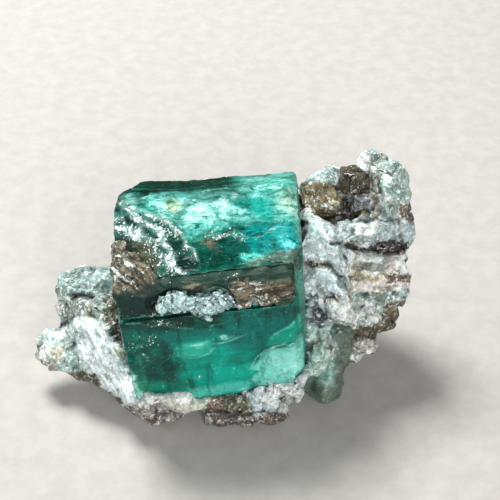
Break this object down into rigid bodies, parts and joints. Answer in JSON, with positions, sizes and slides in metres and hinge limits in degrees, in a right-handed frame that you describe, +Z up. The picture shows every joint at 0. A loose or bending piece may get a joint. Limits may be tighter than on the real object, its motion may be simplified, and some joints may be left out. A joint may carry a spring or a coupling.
{
  "type": "raw emerald crystal",
  "caption": "Rough hexagonal emerald crystal lying in feldspar, quartz and mica rock, a natural mineral specimen for display.",
  "frame": {"origin": "on the surface that the specimen rests on, under the middle of its box", "axes": "+X along the specimen's longest side and close to the emerald's long axis, from the low end to the tall end; the picture looks along +Y and down; +Z up"},
  "size_m": [0.0456, 0.028, 0.0273],
  "materials": {
    "emerald_crystal": "glossy, see-through green with milky veils",
    "matrix_rock": "rough broken feldspar and quartz",
    "mica_crust": "flaky, with a bronze sheen",
    "feldspar_grains": "sugary white",
    "small_beryl_crystal": "waxy pale green",
    "smoky_quartz_crystal": "glossy brown",
    "clear_quartz_crystal": "glossy, nearly clear",
    "bronze_mica_book": "leafy, with a bronze sheen",
    "dark_mica_book": "leafy, nearly black"
  },
  "bodies": {
    "root": {"emerald_crystal": "emerald_crystal", "matrix_rock": "matrix_rock", "mica_crust": "mica_crust", "feldspar_grains": "feldspar_grains", "small_beryl_crystal": "small_beryl_crystal", "smoky_quartz_crystal": "smoky_quartz_crystal", "clear_quartz_crystal": "clear_quartz_crystal", "bronze_mica_book": "bronze_mica_book", "dark_mica_book": "dark_mica_book"}
  },
  "joints": []
}
